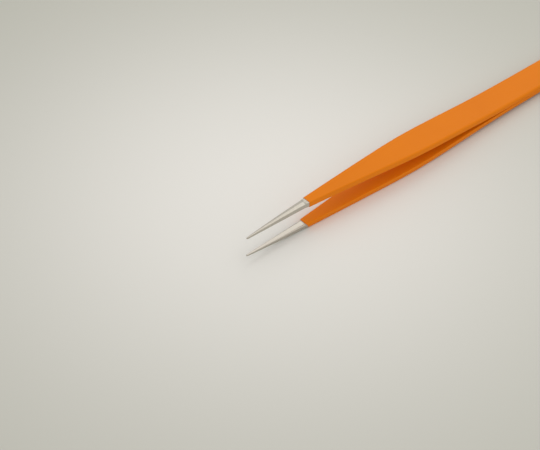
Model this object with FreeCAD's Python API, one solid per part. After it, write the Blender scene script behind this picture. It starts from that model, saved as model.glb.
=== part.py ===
import FreeCAD, Part
import math
import os

# Fine-point tweezers: two spring-steel blades joined face to face at the butt, and one
# continuous film of orange epoxy over both, which ends short of the bare ground points.
# Built with the points at x = 0, the butt at +x, y across the blades and z = 0 on the
# plane where the blades meet. At the end the whole pair is laid down on its lower blade.
# Millimetres. Blade sizes are those of the bare steel.

# Length and plan outline of a blade, measured from the points
overall_length = 140.0
handle_width = 9.5
butt_corner_radius = 2.0
shoulder_from_tip = 61.8
shoulder_radius = 200.0
neck_width = 2.76
tip_width = 0.42

# Bare ground point
ground_length = 21.0
run_out_length = 0.8
grind_depth = 0.05
nose_length = 0.3
nose_end_share = 0.4
tip_swell = 1.5
point_crown_deg = 16.0
section_spacing = 7.0

# Thickness and section of a blade
blade_thickness = 1.65
butt_thickness = 1.25
tip_thickness = 0.5
thinning_from_tip = 75.0
side_lean = 0.25
tip_side_lean = 0.05
tip_edge_radius = 0.06
neck_edge_radius = 0.2
handle_edge_radius = 0.68
full_edge_radius_from_tip = 90.0
inner_edge_radius = 0.23

# Side view: how far the blades stand apart, and where they part
tip_opening = 5.95
blade_opening = 6.4
level_tip_length = 2.0
joined_length = 30.0
spring_bend_radius = 450.0
parting_relief = 0.1

# Epoxy film and the line where it ends on each blade
coat_thickness = 0.12
upper_coat_start = 21.8
lower_coat_start = 21.0
upper_coat_slant_deg = 0.0
lower_coat_slant_deg = 33.0

# Worked out from the sizes above
steel_length = overall_length - coat_thickness
corner_start = steel_length - butt_corner_radius
parting_from_tip = steel_length - joined_length
taper_slope = (handle_width - neck_width) / (shoulder_from_tip - ground_length)
shoulder_turn = math.atan(taper_slope / 2)
shoulder_reach = shoulder_radius * math.tan(shoulder_turn / 2)
butt_height = parting_relief + butt_thickness
half_opening = blade_opening / 2
curve_run = parting_from_tip - level_tip_length
curve_turn = 2 * math.atan((half_opening - parting_relief) / curve_run)
belly_radius = curve_run / math.sin(curve_turn) - spring_bend_radius
curve_change = parting_from_tip - spring_bend_radius * math.sin(curve_turn)


def share(x, start, end):
    """Where x lies between start and end, from 0 to 1 and no further."""
    return min(max((x - start) / (end - start), 0.0), 1.0)


def inner_face_height(x):
    """Height of a blade's inner face: level in front, a long arc inwards, a reverse arc, the relief."""
    if x <= level_tip_length:
        return half_opening
    if x <= curve_change:
        across = x - level_tip_length
        return half_opening - belly_radius + math.sqrt(belly_radius ** 2 - across ** 2)
    if x < parting_from_tip:
        across = parting_from_tip - x
        return parting_relief + spring_bend_radius - math.sqrt(spring_bend_radius ** 2 - across ** 2)
    return parting_relief


def blade_width(x):
    """Width at the inner face: a straight taper, the shoulder's arc, then the parallel handle."""
    if x <= shoulder_from_tip - shoulder_reach:
        return handle_width - taper_slope * (shoulder_from_tip - x)
    across = max(shoulder_from_tip + shoulder_reach - x, 0.0)
    return handle_width - 2 * (shoulder_radius - math.sqrt(shoulder_radius ** 2 - across ** 2))


def blade_depth(x):
    """Thickness of the blade behind the point, thinner towards the butt where it springs."""
    return blade_thickness + (butt_thickness - blade_thickness) * share(x, thinning_from_tip, steel_length)


def edge_radius(x):
    """Radius of the outer long edges, sharp at the neck and round on the handle."""
    growth = share(x, ground_length, full_edge_radius_from_tip)
    return neck_edge_radius + (handle_edge_radius - neck_edge_radius) * growth


def rounding_inset(x, end, radius):
    """How far a quarter circle that finishes at x = end has come in from its side at x."""
    return radius - math.sqrt(radius ** 2 - min(max(x - end + radius, 0.0), radius) ** 2)


def rounded_outline(corners, radii, x, crown=0.0):
    """Closed wire in the plane at x, through (y, z) corners, each rounded; the third side may be crowned."""
    edges = []
    arcs = []
    count = len(corners)
    for index in range(count):
        corner = FreeCAD.Vector(x, *corners[index])
        before = (FreeCAD.Vector(x, *corners[index - 1]) - corner).normalize()
        after = (FreeCAD.Vector(x, *corners[(index + 1) % count]) - corner).normalize()
        half_angle = before.getAngle(after) / 2
        reach = radii[index] / math.tan(half_angle)
        inward = (before + after).normalize()
        middle = corner + inward * (radii[index] / math.sin(half_angle) - radii[index])
        arcs.append((corner + before * reach, middle, corner + after * reach))
    for index in range(count):
        start, middle, end = arcs[index]
        next_start = arcs[(index + 1) % count][0]
        edges.append(Part.Arc(start, middle, end).toShape())
        if index == 2 and crown > 0:
            summit = (end + next_start) / 2 + FreeCAD.Vector(0, 0, crown)
            edges.append(Part.Arc(end, summit, next_start).toShape())
        else:
            edges.append(Part.LineSegment(end, next_start).toShape())
    return Part.Wire(edges)


def section(x, width, bottom, top, lean, outer_radius, inner_radius, crown=0.0):
    """Blade section at x: wide inner face below, sides that lean in, narrower outer face above."""
    half = width / 2
    corners = [(-half, bottom), (half, bottom), (half - lean, top), (lean - half, top)]
    radii = [inner_radius, inner_radius, outer_radius, outer_radius]
    return rounded_outline(corners, radii, x, crown)


def blade_section(x, film, bottom=None):
    """Section of the blade behind its point, grown by the film's thickness on every side."""
    inner = inner_face_height(x)
    end = steel_length + film
    radius = edge_radius(x) + film
    top = inner + blade_depth(x) + film - rounding_inset(x, end, radius)
    low = (inner if bottom is None else bottom) - film
    width = blade_width(x) + 2 * film - 2 * rounding_inset(x, end, butt_corner_radius + film)
    return section(x, width, low, top, side_lean, min(radius, (top - low) / 2), inner_edge_radius + film)


def point_section(x, size_share=1.0):
    """Section of the ground point: it swells from the tip sizes to the ground neck."""
    along = share(x, 0.0, ground_length)
    width = tip_width + (neck_width - 2 * grind_depth - tip_width) * along
    depth_gain = blade_thickness - 2 * grind_depth - tip_thickness
    depth = tip_thickness + depth_gain * (1 - (1 - along) ** tip_swell)
    lean = tip_side_lean + (side_lean - tip_side_lean) * along
    radius = tip_edge_radius + (neck_edge_radius - grind_depth - tip_edge_radius) * along
    neck_bottom = inner_face_height(ground_length) + grind_depth
    bottom = tip_opening / 2 + (neck_bottom - tip_opening / 2) * along
    middle = bottom + depth / 2
    width, depth, lean, radius = (size_share * size for size in (width, depth, lean, radius))
    crown = width / 2 * math.tan(math.radians(point_crown_deg) / 2)
    low = middle - depth / 2
    high = middle + depth / 2 - crown
    return section(x, width, low, high, lean, radius, radius, crown)


def stations(first, last, spacing):
    """Evenly spaced places along the blade from first to last, no further apart than spacing."""
    count = math.ceil((last - first) / spacing)
    return [first + (last - first) * index / count for index in range(count + 1)]


def handle_sections(first, film):
    """Sections from x = first to the rounded butt; behind the parting the blades meet."""
    sprung = [blade_section(x, film) for x in stations(first, parting_from_tip, section_spacing)]
    joint_start = parting_from_tip + parting_relief
    places = stations(joint_start, corner_start, 3 * section_spacing)
    for turn_deg in (20, 36, 50, 63, 76, 90):
        places.append(corner_start + (butt_corner_radius + film) * math.sin(math.radians(turn_deg)))
    return sprung + [blade_section(x, film, 0.0) for x in places]


def upper_blade():
    """Bare steel of the upper blade: blunt nose, ground point, run-out of the grind and handle."""
    ground_end = ground_length - run_out_length
    nose_shares = []
    for step in (0.0, 0.25, 0.6, 1.0):
        roundness = math.sqrt(1 - (1 - step) ** 2)
        nose_shares.append((nose_length * step, nose_end_share + (1 - nose_end_share) * roundness))
    nose = [point_section(x, size) for x, size in nose_shares]
    point = [point_section(x) for x in stations(nose_length, ground_end, section_spacing)[1:]]
    return Part.makeLoft(nose + point + handle_sections(ground_length, 0.0), True, True)


def upper_film(blade, coat_start, slant_deg):
    """Film on the upper blade down to where the blades meet, from a plane that leans back by the slant."""
    reach = overall_length
    envelope = Part.makeLoft(handle_sections(coat_start - 1.0, coat_thickness), True, True)
    keep = Part.makeBox(reach, reach, reach, FreeCAD.Vector(0, -reach / 2, -reach / 2))
    keep.rotate(FreeCAD.Vector(0, 0, 0), FreeCAD.Vector(0, 1, 0), slant_deg)
    keep.translate(FreeCAD.Vector(coat_start, 0, inner_face_height(coat_start)))
    above_joint = Part.makeBox(2 * reach, reach, reach, FreeCAD.Vector(-reach / 2, -reach / 2, 0))
    return envelope.common(keep).common(above_joint).cut(blade)


def mirrored(shape):
    """The same shape on the lower side of the plane where the blades meet."""
    return shape.mirror(FreeCAD.Vector(0, 0, 0), FreeCAD.Vector(0, 0, 1))


def resting_tilt_deg():
    """Angle at which the pair lies: a line from the butt's underside that touches the belly."""
    steepest = 0.0
    flat_end = steel_length - side_lean - handle_edge_radius
    for x in stations(ground_length, parting_from_tip, 0.5):
        drop = inner_face_height(x) + blade_depth(x) - butt_height
        steepest = max(steepest, drop / (flat_end - x))
    return math.degrees(math.atan(steepest))


def main():
    upper = upper_blade()
    lower = mirrored(upper)
    film_above = upper_film(upper, upper_coat_start, upper_coat_slant_deg)
    film_below = mirrored(upper_film(upper, lower_coat_start, lower_coat_slant_deg))
    coating = film_above.fuse(film_below).removeSplitter()
    nodes = {"upper_blade": upper, "lower_blade": lower, "epoxy_coating": coating}

    # Lay the pair on its lower blade, centred over the origin, its lowest line on z = 0
    for shape in nodes.values():
        shape.rotate(FreeCAD.Vector(0, 0, 0), FreeCAD.Vector(0, 1, 0), resting_tilt_deg())
    whole = Part.makeCompound(list(nodes.values()))
    box = whole.optimalBoundingBox(False, False)
    shift = FreeCAD.Vector(-box.Center.x, -box.Center.y, -box.ZMin)
    os.makedirs("parts", exist_ok=True)
    for name, shape in nodes.items():
        shape.translate(shift)
        print(name, len(shape.Solids), shape.isValid(), round(shape.Volume, 2), len(shape.Faces))
        shape.exportStep("parts/" + name + ".step")


main()
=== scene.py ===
import bpy
import numpy as np
from mathutils import Matrix, Vector


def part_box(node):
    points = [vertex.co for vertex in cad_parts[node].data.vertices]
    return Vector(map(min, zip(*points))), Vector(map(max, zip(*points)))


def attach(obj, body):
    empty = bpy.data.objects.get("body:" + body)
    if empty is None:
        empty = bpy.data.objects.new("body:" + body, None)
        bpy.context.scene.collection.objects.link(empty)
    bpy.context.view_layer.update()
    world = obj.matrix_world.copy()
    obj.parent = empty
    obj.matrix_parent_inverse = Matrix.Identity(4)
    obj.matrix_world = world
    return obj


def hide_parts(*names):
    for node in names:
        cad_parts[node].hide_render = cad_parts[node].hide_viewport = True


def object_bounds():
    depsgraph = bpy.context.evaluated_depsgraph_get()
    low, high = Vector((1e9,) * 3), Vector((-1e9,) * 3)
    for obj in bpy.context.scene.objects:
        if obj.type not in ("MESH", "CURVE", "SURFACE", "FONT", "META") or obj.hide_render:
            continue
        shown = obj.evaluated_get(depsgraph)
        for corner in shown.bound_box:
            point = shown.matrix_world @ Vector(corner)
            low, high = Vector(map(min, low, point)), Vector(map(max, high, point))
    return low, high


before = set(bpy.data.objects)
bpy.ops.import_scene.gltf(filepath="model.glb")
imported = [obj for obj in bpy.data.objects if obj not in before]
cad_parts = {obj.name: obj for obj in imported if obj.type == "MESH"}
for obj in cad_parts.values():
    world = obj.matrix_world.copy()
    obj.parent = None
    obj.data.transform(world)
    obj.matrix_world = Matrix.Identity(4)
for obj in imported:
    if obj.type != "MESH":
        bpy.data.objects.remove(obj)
CAD_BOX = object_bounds()

bl_info = {
    "name": "Fine-Point Tweezers",
    "version": (1, 0, 0),
    "blender": (4, 5, 0),
    "location": "View3D > Sidebar > Tweezers",
    "description": "Finishes epoxy-coated fine-point tweezers and sets up their studio",
    "category": "Object",
}

MM = 0.001

# Places in a blade's outline: four arcs of ARC_POINTS points, with the land's two points before the last
ARC_POINTS = 6
INNER_FACE = ARC_POINTS - 1
RIDGE_LAND = 3 * ARC_POINTS
FLAT_STRIPS = (INNER_FACE, 2 * ARC_POINTS - 1, RIDGE_LAND - 1, RIDGE_LAND, RIDGE_LAND + 1, 4 * ARC_POINTS + 1)

# Steps along a blade
NOSE_STEPS = 6
GROUND_STATIONS = 30
SPRING_STATIONS = 60
JOINT_STATIONS = 8
BELLY_STATIONS = 200


def linear(hex_colour):
    """Turns an sRGB hex colour into linear RGBA: a straight part below 0.04045 and a 2.4 power above."""
    channels = np.array([int(hex_colour[i:i + 2], 16) for i in (0, 2, 4)]) / 255
    low = channels / 12.92
    high = ((channels + 0.055) / 1.055) ** 2.4
    return (*np.where(channels <= 0.04045, low, high).tolist(), 1.0)


def colour_property(name, description, hex_colour):
    return bpy.props.FloatVectorProperty(
        name=name, description=description, subtype="COLOR", size=4,
        min=0.0, max=1.0, default=linear(hex_colour))


def length_property(name, description, millimetres):
    return bpy.props.FloatProperty(
        name=name, description=description, subtype="DISTANCE", unit="LENGTH",
        min=0.0, default=millimetres * MM, precision=5)


def angle_property(name, description, degrees):
    return bpy.props.FloatProperty(
        name=name, description=description, subtype="ANGLE", unit="ROTATION", default=np.radians(degrees))


def place_property(name, description, metres):
    return bpy.props.FloatVectorProperty(
        name=name, description=description, subtype="TRANSLATION", unit="LENGTH", size=3, default=metres)


def power_property(name, description, watts):
    return bpy.props.FloatProperty(
        name=name, description=description, subtype="POWER", unit="POWER", min=0.0, default=watts)


def share_property(name, description, default):
    return bpy.props.FloatProperty(
        name=name, description=description, subtype="FACTOR", min=0.0, max=1.0, default=default)


class CoatingSettings(bpy.types.PropertyGroup):
    """Baked epoxy film over both arms"""
    colour: colour_property("Colour", "Colour of the epoxy", "EA8105")
    deep_colour: colour_property("Deep colour", "Colour where the film flowed a little thicker", "E27A04")
    roughness: share_property("Roughness", "Roughness of the baked film", 0.5)
    gloss: share_property("Gloss", "Strength of the film's reflection", 0.12)
    peel_size: length_property("Peel size", "Width of one dimple of the orange peel", 0.9)
    peel_height: length_property("Peel height", "Height of the orange peel", 0.004)
    peel_strength: share_property("Peel strength", "Strength of the orange peel in the light", 0.5)
    cloud_size: length_property("Cloud size", "Width of one patch of thicker film", 14.0)


class SteelSettings(bpy.types.PropertyGroup):
    """Stainless steel of the blades: belt-ground outside, lapped flat on the inner faces"""
    colour: colour_property("Colour", "Reflection colour of the ground steel", "CBC6BC")
    dull_colour: colour_property("Dull colour", "Reflection colour between the grinding lines", "B2ACA1")
    lapped_colour: colour_property("Lapped colour", "Reflection colour of the lapped inner faces", "CBC5BB")
    roughness: share_property("Roughness", "Roughness of the satin grind", 0.42)
    lapped_roughness: share_property("Lapped roughness", "Roughness of the lapped inner faces", 0.32)
    line_spacing: length_property("Line spacing", "Distance between grinding lines", 0.16)
    line_stretch: share_property("Line stretch", "Narrowness of a grinding line for its length", 0.06)
    line_height: length_property("Line height", "Height of the grinding lines", 0.003)
    line_strength: share_property("Line strength", "Strength of the grinding lines in the light", 0.6)


class BladeSettings(bpy.types.PropertyGroup):
    """Sizes of a bare blade, from the point at x = 0 to the butt"""
    steel_length: length_property("Steel length", "From the point to the butt", 139.88)
    ground_length: length_property("Ground length", "From the point to the end of the grind", 21.0)
    run_out_length: length_property("Run-out", "Where the grind ends in the full section", 0.45)
    grind_depth: length_property("Grind depth", "Steel taken off each side at the end of the grind", 0.05)
    nose_length: length_property("Nose length", "Length of the rounded nose", 0.3)
    nose_start: share_property("Nose start", "Size of the section at the very tip, as a share", 0.4)
    tip_width: length_property("Tip width", "Width of the point behind its nose", 0.42)
    tip_thickness: length_property("Tip thickness", "Thickness of the point behind its nose", 0.5)
    tip_opening: length_property("Tip opening", "Gap between the points", 5.95)
    tip_swell: bpy.props.FloatProperty(
        name="Tip swell", description="Power by which the point swells; 1 is a plain wedge", default=1.5)
    neck_width: length_property("Neck width", "Width where the grind ends", 2.76)
    handle_width: length_property("Handle width", "Width of the parallel handle", 9.5)
    shoulder: length_property("Shoulder", "From the point to the middle of the shoulder", 61.8)
    shoulder_radius: length_property("Shoulder radius", "Radius of the shoulder in plan", 200.0)
    butt_corner: length_property("Butt corner", "Radius of the butt's corners in plan", 2.0)
    thickness: length_property("Thickness", "Thickness of the blade in front", 1.65)
    butt_thickness: length_property("Butt thickness", "Thickness of the blade at the butt", 1.25)
    thinning: length_property("Thinning", "From the point to where the blade starts to thin", 75.0)
    side_lean: length_property("Side lean", "How far each side leans in over the thickness", 0.25)
    tip_side_lean: length_property("Tip side lean", "The same at the tip", 0.05)
    ridge_radius: length_property("Ridge radius", "Radius of the crisp ground edges", 0.05)
    roof_angle: angle_property("Roof angle", "Fall of the point's outer facets from their ridge", 5.5)
    ridge_land: length_property("Ridge land", "Width of the bright land along the ridge", 0.16)
    land_limit: share_property("Land limit", "Most that the land takes of the way to the eaves", 0.4)
    neck_edge: length_property("Neck edge", "Radius of the outer edges at the neck", 0.2)
    handle_edge: length_property("Handle edge", "Radius of the outer edges on the handle", 0.68)
    full_edge: length_property("Full edge", "From the point to where that radius is reached", 90.0)
    inner_edge: length_property("Inner edge", "Radius of the inner edges behind the grind", 0.45)
    opening: length_property("Opening", "Gap between the level front ends of the blades", 6.4)
    level_length: length_property("Level length", "Length of the level front end", 2.0)
    joined_length: length_property("Joined length", "Length over which the blades are joined", 30.0)
    spring_radius: length_property("Spring radius", "Radius of the bend in front of the joint", 450.0)
    relief: length_property("Relief", "Step between the spring and the joined faces", 0.1)


class StageSettings(bpy.types.PropertyGroup):
    """Table top, lights and camera"""
    # Painted pool of light on the table: its colour is painted lighter at the middle and darker further out,
    # for the window's light falling off.
    table_colour_in_painted_light: colour_property("Table colour", "Colour of the table top at its middle", "ECEAE6")
    table_colour_in_painted_shade: colour_property("Outer table colour", "Colour of the table top further out", "BABAB0")
    table_roughness: share_property("Table roughness", "Roughness of the table top", 0.8)
    # Width of the painted pool of light.
    painted_light_fade: length_property("Table fade", "Distance over which the table's colour changes", 91.0)
    table_half: length_property("Half table", "Half the side of the table top", 2000.0)
    # Shift of the painted pool of light's brightest place.
    painted_light_pool_shift: place_property("Table shift", "From the point looked at to the table's brightest place",
                                (0.010, 0.011, 0.0))
    sky_colour: colour_property("Sky colour", "Colour of the even light all round", "F4F3F0")
    sky_strength: bpy.props.FloatProperty(
        name="Sky strength", description="Strength of the even light all round", min=0.0, default=0.765)
    lamp_colour: colour_property("Lamp colour", "Colour of both lamps", "FFFDF8")
    window_place: place_property("Window place", "Middle of the large lamp", (0.791, 0.139, 0.892))
    window_size: length_property("Window size", "Side of the large lamp", 1200.0)
    window_power: power_property("Window power", "Power of the large lamp", 4.8)
    card_place: place_property("Card place", "Middle of the weak lamp in front", (0.24, -0.9, 0.756))
    card_size: length_property("Card size", "Side of the weak lamp", 900.0)
    card_power: power_property("Card power", "Power of the weak lamp", 1.5)
    lens_mm: bpy.props.FloatProperty(
        name="Focal length", description="Focal length of the camera", subtype="DISTANCE_CAMERA",
        unit="CAMERA", default=100.0)
    camera_distance: length_property("Camera distance", "From the camera to the point it looks at", 419.6)
    camera_azimuth: angle_property("Azimuth", "Direction that the camera stands in", -41.25)
    camera_elevation: angle_property("Elevation", "Angle that the camera looks down", 44.0)
    target_from_points: length_property("Target from points", "Place along the tweezers looked at", 13.2)
    target_aside: length_property("Target aside", "Place beside the tweezers looked at", 5.2)
    target_height: length_property("Target height", "Height above the table looked at", 1.95)


def add_node(tree, kind, links=(), **settings):
    """Adds one shader node, sets its properties and socket values, and links (own socket, source) pairs."""
    node = tree.nodes.new(kind)
    for name, value in settings.items():
        if hasattr(node, name):
            setattr(node, name, value)
        else:
            node.inputs[name.replace("_", " ")].default_value = value
    for socket, source in links:
        tree.links.new(source, node.inputs[socket])
    return node


def mixed_colour(tree, factor, first, second):
    """Output of a node that mixes two colours: the first where the factor is 0, the second where it is 1."""
    mix = add_node(tree, "ShaderNodeMix", [("Factor", factor)], data_type="RGBA")
    mix.inputs[6].default_value = first
    mix.inputs[7].default_value = second
    return mix.outputs[2]


def new_material(name):
    """A named material with an empty tree and its output node."""
    material = bpy.data.materials.new(name)
    material.use_nodes = True
    material.node_tree.nodes.clear()
    output = material.node_tree.nodes.new("ShaderNodeOutputMaterial")
    return material, material.node_tree, output


def baked_epoxy():
    """Baked epoxy enamel, sprayed and cured: satin, with a faint orange peel and slightly deeper
    colour where the film flowed thicker. Cured epoxy has an index of about 1.5."""
    film = bpy.context.scene.tweezers_coating
    material, tree, output = new_material("baked_epoxy")
    place = add_node(tree, "ShaderNodeTexCoord").outputs["Object"]
    clouds = add_node(tree, "ShaderNodeTexNoise", [("Vector", place)],
                      Scale=1 / film.cloud_size, Detail=2.0, Roughness=0.5)
    colour = mixed_colour(tree, clouds.outputs["Fac"], film.colour, film.deep_colour)
    peel = add_node(tree, "ShaderNodeTexNoise", [("Vector", place)],
                    Scale=1 / film.peel_size, Detail=1.0, Roughness=0.4)
    bump = add_node(tree, "ShaderNodeBump", [("Height", peel.outputs["Fac"])],
                    Strength=film.peel_strength, Distance=film.peel_height)
    shader = add_node(tree, "ShaderNodeBsdfPrincipled",
                      [("Base Color", colour), ("Normal", bump.outputs["Normal"])],
                      Roughness=film.roughness, IOR=1.5, Specular_IOR_Level=film.gloss)
    tree.links.new(shader.outputs["BSDF"], output.inputs["Surface"])
    return material


def ground_steel():
    """Stainless steel, ground across the blade with fine grit: a satin metal whose fine lines run
    across the points. The real lines are about 0.03 mm apart and are drawn coarser, so that they show."""
    steel = bpy.context.scene.tweezers_steel
    material, tree, output = new_material("belt_ground_stainless_steel")
    place = add_node(tree, "ShaderNodeTexCoord").outputs["Object"]
    stretched = add_node(tree, "ShaderNodeMapping", [("Vector", place)])
    stretched.inputs["Scale"].default_value = (1.0, steel.line_stretch, steel.line_stretch)
    lines = add_node(tree, "ShaderNodeTexNoise", [("Vector", stretched.outputs["Vector"])],
                     Scale=1 / steel.line_spacing, Detail=3.0, Roughness=0.6)
    colour = mixed_colour(tree, lines.outputs["Fac"], steel.dull_colour, steel.colour)
    bump = add_node(tree, "ShaderNodeBump", [("Height", lines.outputs["Fac"])],
                    Strength=steel.line_strength, Distance=steel.line_height)
    shader = add_node(tree, "ShaderNodeBsdfPrincipled",
                      [("Base Color", colour), ("Normal", bump.outputs["Normal"])],
                      Metallic=1.0, Roughness=steel.roughness)
    tree.links.new(shader.outputs["BSDF"], output.inputs["Surface"])
    return material


def lapped_steel():
    """Lapped stainless steel: the inner faces, rubbed flat on a plate with fine grit until they meet
    without a gap. Brighter and evener than the grind, with no lines that show at this distance."""
    steel = bpy.context.scene.tweezers_steel
    material, tree, output = new_material("lapped_stainless_steel")
    shader = add_node(tree, "ShaderNodeBsdfPrincipled", Metallic=1.0, Roughness=steel.lapped_roughness)
    shader.inputs["Base Color"].default_value = steel.lapped_colour
    tree.links.new(shader.outputs["BSDF"], output.inputs["Surface"])
    return material


def pale_table_with_painted_light():
    """Matt pale laminate of the table top, with a pool of light painted into its colour. Its colour darkens
    outwards along a bell curve of the distance r, exp(-(r / fade)^2): painted shade for the fall-off of one
    window's light on a small table."""
    stage = bpy.context.scene.tweezers_stage
    material, tree, output = new_material("pale_laminate_with_painted_light")
    place = add_node(tree, "ShaderNodeTexCoord").outputs["Object"]
    spread = add_node(tree, "ShaderNodeMapping", [("Vector", place)])
    spread.inputs["Scale"].default_value = (1 / stage.painted_light_fade,) * 3
    squared = add_node(tree, "ShaderNodeVectorMath", [(0, spread.outputs["Vector"]),
                       (1, spread.outputs["Vector"])], operation="DOT_PRODUCT")
    fall = add_node(tree, "ShaderNodeMath", [(0, squared.outputs["Value"])], operation="MULTIPLY")
    fall.inputs[1].default_value = -1.0
    painted_light_bell = add_node(tree, "ShaderNodeMath", [(0, fall.outputs["Value"])], operation="EXPONENT")
    # Painted pool of light: painted shade colour further out, painted light colour at the middle.
    colour = mixed_colour(tree, painted_light_bell.outputs["Value"], stage.table_colour_in_painted_shade, stage.table_colour_in_painted_light)
    shader = add_node(tree, "ShaderNodeBsdfPrincipled", [("Base Color", colour)],
                      Roughness=stage.table_roughness)
    tree.links.new(shader.outputs["BSDF"], output.inputs["Surface"])
    return material


def share(x, start, end):
    """Where x lies between start and end, from 0 to 1 and no further."""
    return np.clip((x - start) / (end - start), 0.0, 1.0)


def inner_face_height(x, blade):
    """Height of the inner face over the plane where the blades meet. Level at h in front, then a long
    arc, z = h - R + sqrt(R^2 - (x - a)^2), and the spring's reverse arc, z = e + S - sqrt(S^2 - (b - x)^2).
    Both turn by 2 atan((h - e) / (b - a)), so that they meet smoothly, and R follows from the run b - a."""
    height, relief, spring = blade.opening / 2, blade.relief, blade.spring_radius
    start, end = blade.level_length, blade.steel_length - blade.joined_length
    turn = 2 * np.arctan((height - relief) / (end - start))
    belly = (end - start) / np.sin(turn) - spring
    front = np.clip(x - start, 0.0, None)
    back = np.clip(end - x, 0.0, spring * np.sin(turn))
    arc = height - belly + np.sqrt(np.clip(belly ** 2 - front ** 2, 0.0, None))
    reverse = relief + spring - np.sqrt(spring ** 2 - back ** 2)
    return np.where(x < end - spring * np.sin(turn), arc, reverse)


def blade_width(x, blade):
    """Width of the inner face: a straight taper at slope s, then an arc of the shoulder radius that ends
    tangent to the parallel handle. The arc reaches radius * tan(atan(s / 2) / 2) to each side."""
    slope = (blade.handle_width - blade.neck_width) / (blade.shoulder - blade.ground_length)
    radius = blade.shoulder_radius
    reach = radius * np.tan(np.arctan(slope / 2) / 2)
    across = np.clip(blade.shoulder + reach - x, 0.0, 2 * reach)
    arc = blade.handle_width - 2 * (radius - np.sqrt(radius ** 2 - across ** 2))
    taper = blade.handle_width - slope * (blade.shoulder - x)
    return np.where(x < blade.shoulder - reach, taper, arc)


def end_inset(x, end, radius):
    """How far a quarter circle that finishes at x = end has come in from its side at x."""
    return radius - np.sqrt(radius ** 2 - np.clip(x - end + radius, 0.0, radius) ** 2)


def handle_section(x, blade):
    """Width, bottom, top, fall to the eaves, lean, outer and inner edge radius of the full section behind
    the grind, at every x. Its outer face is flat, so that the fall is 0."""
    inner = inner_face_height(x, blade)
    joined = x > blade.steel_length - blade.joined_length
    depth = blade.thickness + (blade.butt_thickness - blade.thickness) * share(
        x, blade.thinning, blade.steel_length)
    edge = blade.neck_edge + (blade.handle_edge - blade.neck_edge) * share(
        x, blade.ground_length, blade.full_edge)
    width = blade_width(x, blade) - 2 * end_inset(x, blade.steel_length, blade.butt_corner)
    top = inner + depth - end_inset(x, blade.steel_length, blade.handle_edge)
    bottom = np.where(joined, 0.0, inner)
    lean = np.full_like(x, blade.side_lean)
    outer_edge = np.minimum(edge, (top - bottom) / 2)
    return width, bottom, top, np.zeros_like(x), lean, outer_edge, np.full_like(x, blade.inner_edge)


def point_section(x, blade):
    """The same of the ground point. Its width grows evenly and its thickness by 1 - (1 - t)^swell, two
    facets fall from its ridge to the eaves, and the nose scales the section up along a quarter ellipse."""
    along = share(x, 0.0, blade.ground_length)
    width = blade.tip_width + (blade.neck_width - 2 * blade.grind_depth - blade.tip_width) * along
    gain = blade.thickness - 2 * blade.grind_depth - blade.tip_thickness
    depth = blade.tip_thickness + gain * (1 - (1 - along) ** blade.tip_swell)
    neck = np.array([blade.ground_length])
    neck_bottom = inner_face_height(neck, blade) + blade.grind_depth
    middle = blade.tip_opening / 2 + (neck_bottom - blade.tip_opening / 2) * along + depth / 2
    lean = blade.tip_side_lean + (blade.side_lean - blade.tip_side_lean) * along
    roundness = np.sqrt(1 - (1 - share(x, 0.0, blade.nose_length)) ** 2)
    size = blade.nose_start + (1 - blade.nose_start) * roundness
    ridge = size * blade.ridge_radius
    inner_edge = size * (blade.ridge_radius + (blade.inner_edge - blade.ridge_radius) * along)
    fall = size * (width / 2 - lean) * np.tan(blade.roof_angle)
    return (size * width, middle - size * depth / 2, middle + size * depth / 2, fall, size * lean,
            ridge, inner_edge)


def rounded_outlines(blade, width, bottom, top, fall, lean, outer_edge, inner_edge):
    """Closed outlines, one row for each section: a wide inner face, sides that lean in to the eaves, and
    two facets up to a narrow land. The four outer corners are rounded. With unit directions s and e from
    an arc's centre to its ends, theta apart, its points are
    centre + r (sin((1 - t) theta) s + sin(t theta) e) / sin(theta) for t from 0 to 1."""
    half = width / 2
    eave = half - lean
    rim = np.minimum(blade.ridge_land / 2, blade.land_limit * eave)
    corners = np.stack([np.stack(pair, -1) for pair in (
        (-half, bottom), (half, bottom), (eave, top - fall),
        (rim, top), (-rim, top), (-eave, top - fall))], 1)
    rounded = corners[:, [0, 1, 2, 5]]
    radii = np.stack([inner_edge, inner_edge, outer_edge, outer_edge], 1)[..., None]
    before = corners[:, [5, 0, 1, 4]] - rounded
    after = corners[:, [1, 2, 3, 0]] - rounded
    before /= np.linalg.norm(before, axis=-1, keepdims=True)
    after /= np.linalg.norm(after, axis=-1, keepdims=True)
    half_angle = np.arccos(np.sum(before * after, -1, keepdims=True)) / 2
    inward = (before + after) / np.linalg.norm(before + after, axis=-1, keepdims=True)
    centre = rounded + inward * radii / np.sin(half_angle)
    reach = radii / np.tan(half_angle)
    start = (rounded + before * reach - centre) / radii
    end = (rounded + after * reach - centre) / radii
    theta = (np.pi - 2 * half_angle)[:, :, None]
    t = np.linspace(0.0, 1.0, ARC_POINTS)[None, None, :, None]
    turned = np.sin((1 - t) * theta) * start[:, :, None] + np.sin(t * theta) * end[:, :, None]
    arcs = centre[:, :, None] + radii[:, :, None] * turned / np.sin(theta)
    return np.concatenate([arcs[:, 0], arcs[:, 1], arcs[:, 2], corners[:, 3:5], arcs[:, 3]], 1)


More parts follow.
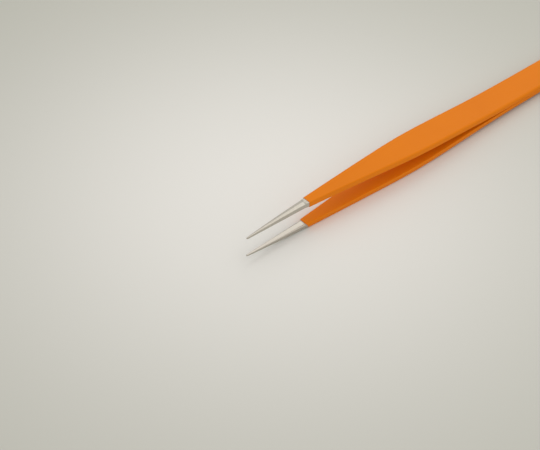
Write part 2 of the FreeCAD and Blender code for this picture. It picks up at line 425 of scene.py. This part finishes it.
def blade_grid(blade):
    """Points (section, place in section, xyz) over a blade from its nose to its butt."""
    ground_end = blade.ground_length - blade.run_out_length
    nose = blade.nose_length * (1 - np.cos(np.linspace(0.0, np.pi / 2, NOSE_STEPS + 1)))
    ground = np.concatenate([nose, np.linspace(blade.nose_length, ground_end, GROUND_STATIONS)[1:]])
    joint = blade.steel_length - blade.joined_length
    round_start = blade.steel_length - blade.butt_corner
    spring = np.linspace(blade.ground_length, joint, SPRING_STATIONS)
    joined = np.linspace(joint + blade.relief, round_start, JOINT_STATIONS)[:-1]
    butt = round_start + blade.butt_corner * np.sin(np.linspace(0.0, np.pi / 2, JOINT_STATIONS))
    full = np.concatenate([spring, joined, butt])
    parts = zip(point_section(ground, blade), handle_section(full, blade))
    outlines = rounded_outlines(blade, *(np.concatenate(pair) for pair in parts))
    places = np.concatenate([ground, full])
    along = np.broadcast_to(places[:, None, None], (*outlines.shape[:2], 1))
    return np.concatenate([along, outlines], 2)


def laid_down(points, blade):
    """The points turned about the Y axis to the angle at which the pair lies on its belly and butt: the
    steepest line from the butt's underside that touches the outer face."""
    x = np.linspace(blade.ground_length, blade.steel_length - blade.joined_length, BELLY_STATIONS)
    outer = handle_section(x, blade)[2]
    butt_height = blade.relief + blade.butt_thickness
    flat_end = blade.steel_length - blade.side_lean - blade.handle_edge
    angle = np.arctan(np.max((outer - butt_height) / (flat_end - x)))
    cosine, sine = np.cos(angle), np.sin(angle)
    turn = np.array([[cosine, 0.0, sine], [0.0, 1.0, 0.0], [-sine, 0.0, cosine]])
    return points @ turn.T


def new_blade(name, node, side, ground, lapped):
    """Closed blade in place of a CAD node: its own grid of sections, mirrored for the lower side, laid
    down and moved so that its lowest corner meets the node's. Its flat strips are shaded flat, and the
    inner face and the ridge's land are lapped behind the nose."""
    blade = bpy.context.scene.tweezers_blade
    grid = blade_grid(blade) * (1.0, 1.0, side)
    rows, columns = grid.shape[:2]
    points = laid_down(grid.reshape(-1, 3), blade)
    points += np.array(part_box(node)[0]) - points.min(0)
    row, column = np.meshgrid(np.arange(rows - 1), np.arange(columns), indexing="ij")
    ahead = (column + 1) % columns
    quads = np.stack([row * columns + column, row * columns + ahead,
                      (row + 1) * columns + ahead, (row + 1) * columns + column], -1).reshape(-1, 4)
    ends = [np.arange(columns)[::-1], np.arange(columns) + (rows - 1) * columns]
    faces = [face[::int(side)].tolist() for face in [*quads, *ends]]
    mesh = bpy.data.meshes.new(name)
    mesh.from_pydata(points.tolist(), [], faces)
    bright = np.isin(column, (INNER_FACE, RIDGE_LAND)) & (row >= NOSE_STEPS)
    rounded = ~np.isin(column, FLAT_STRIPS)
    mesh.polygons.foreach_set("material_index", np.append(bright.ravel(), [0, 0]).astype(np.int32))
    mesh.polygons.foreach_set("use_smooth", np.append(rounded.ravel(), [False, False]))
    mesh.materials.append(ground)
    mesh.materials.append(lapped)
    piece = bpy.data.objects.new(name, mesh)
    bpy.context.collection.objects.link(piece)
    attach(piece, "root")
    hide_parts(node)


def finish_node(node, material):
    """Puts the material in every slot of a CAD node, whose shape stays as it is."""
    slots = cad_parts[node].material_slots
    if not slots:
        raise RuntimeError(f"{node} has no material slot")
    for slot in slots:
        slot.material = material


class TWEEZERS_OT_coating(bpy.types.Operator):
    """Gives the epoxy film its baked satin finish"""
    bl_idname = "tweezers.coating"
    bl_label = "Epoxy Coating"

    def execute(self, context):
        finish_node("epoxy_coating", baked_epoxy())
        return {"FINISHED"}


class TWEEZERS_OT_blades(bpy.types.Operator):
    """Makes both steel blades with crisp ground points"""
    bl_idname = "tweezers.blades"
    bl_label = "Steel Blades"

    def execute(self, context):
        ground, lapped = ground_steel(), lapped_steel()
        new_blade("ground_upper_blade", "upper_blade", 1.0, ground, lapped)
        new_blade("ground_lower_blade", "lower_blade", -1.0, ground, lapped)
        return {"FINISHED"}


def new_area_light(name, place, size, power, colour):
    """A soft square lamp at a place, turned to face the middle of the tweezers."""
    lamp = bpy.data.lights.new(name, "AREA")
    lamp.size = size
    lamp.energy = power
    lamp.color = colour[:3]
    light = bpy.data.objects.new(name, lamp)
    bpy.context.collection.objects.link(light)
    light.location = place
    light.rotation_euler = (-Vector(place)).to_track_quat("-Z", "Y").to_euler()


class TWEEZERS_OT_stage(bpy.types.Operator):
    """Lays the table top and sets up the soft light and the camera"""
    bl_idname = "tweezers.stage"
    bl_label = "Table, Light and Camera"

    def execute(self, context):
        stage = context.scene.tweezers_stage
        low = CAD_BOX[0]
        half = stage.table_half
        corners = [(-half, -half, 0.0), (half, -half, 0.0), (half, half, 0.0), (-half, half, 0.0)]
        mesh = bpy.data.meshes.new("table_top")
        mesh.from_pydata(corners, [], [(0, 1, 2, 3)])
        mesh.materials.append(pale_table_with_painted_light())
        table = bpy.data.objects.new("table_top", mesh)
        middle = Vector((low.x + stage.target_from_points, stage.target_aside, low.z))
        # Moving the table moves its painted pool of light.
        table.location = middle + Vector(stage.painted_light_pool_shift)
        context.collection.objects.link(table)

        world = bpy.data.worlds.new("studio_sky")
        context.scene.world = world
        world.use_nodes = True
        world.node_tree.nodes["Background"].inputs["Color"].default_value = stage.sky_colour
        world.node_tree.nodes["Background"].inputs["Strength"].default_value = stage.sky_strength
        new_area_light("window", stage.window_place, stage.window_size, stage.window_power, stage.lamp_colour)
        new_area_light("white_card", stage.card_place, stage.card_size, stage.card_power, stage.lamp_colour)

        target = middle + Vector((0.0, 0.0, stage.target_height))
        azimuth, elevation = stage.camera_azimuth, stage.camera_elevation
        back = Vector((np.sin(azimuth) * np.cos(elevation),
                       -np.cos(azimuth) * np.cos(elevation), np.sin(elevation)))
        right = Vector((np.cos(azimuth), np.sin(azimuth), 0.0))
        turn = Matrix((right, back.cross(right), back)).transposed()
        camera = bpy.data.objects.new("camera", bpy.data.cameras.new("camera"))
        context.collection.objects.link(camera)
        camera.data.lens = stage.lens_mm
        camera.data.sensor_width = 36.0
        camera.data.clip_start = 0.01
        camera.matrix_world = Matrix.Translation(target + back * stage.camera_distance) @ turn.to_4x4()
        context.scene.camera = camera
        return {"FINISHED"}


class TWEEZERS_PT_panel(bpy.types.Panel):
    """Lists the pieces of the tweezers and their settings"""
    bl_idname = "TWEEZERS_PT_panel"
    bl_label = "Fine-Point Tweezers"
    bl_space_type = "VIEW_3D"
    bl_region_type = "UI"
    bl_category = "Tweezers"

    def draw(self, context):
        scene = context.scene
        for operator, groups in ((TWEEZERS_OT_stage, [scene.tweezers_stage]),
                                 (TWEEZERS_OT_coating, [scene.tweezers_coating]),
                                 (TWEEZERS_OT_blades, [scene.tweezers_blade, scene.tweezers_steel])):
            box = self.layout.box()
            box.operator(operator.bl_idname)
            for settings in groups:
                for name in settings.__annotations__:
                    box.prop(settings, name)


CLASSES = (CoatingSettings, SteelSettings, BladeSettings, StageSettings,
           TWEEZERS_OT_coating, TWEEZERS_OT_blades, TWEEZERS_OT_stage, TWEEZERS_PT_panel)


def register():
    for cls in CLASSES:
        bpy.utils.register_class(cls)
    bpy.types.Scene.tweezers_coating = bpy.props.PointerProperty(type=CoatingSettings)
    bpy.types.Scene.tweezers_steel = bpy.props.PointerProperty(type=SteelSettings)
    bpy.types.Scene.tweezers_blade = bpy.props.PointerProperty(type=BladeSettings)
    bpy.types.Scene.tweezers_stage = bpy.props.PointerProperty(type=StageSettings)


def unregister():
    del bpy.types.Scene.tweezers_stage
    del bpy.types.Scene.tweezers_blade
    del bpy.types.Scene.tweezers_steel
    del bpy.types.Scene.tweezers_coating
    for cls in reversed(CLASSES):
        bpy.utils.unregister_class(cls)


def main():
    register()
    bpy.context.scene.view_settings.view_transform = "Standard"
    bpy.ops.tweezers.stage()
    bpy.ops.tweezers.coating()
    bpy.ops.tweezers.blades()


if __name__ == "__main__":
    main()
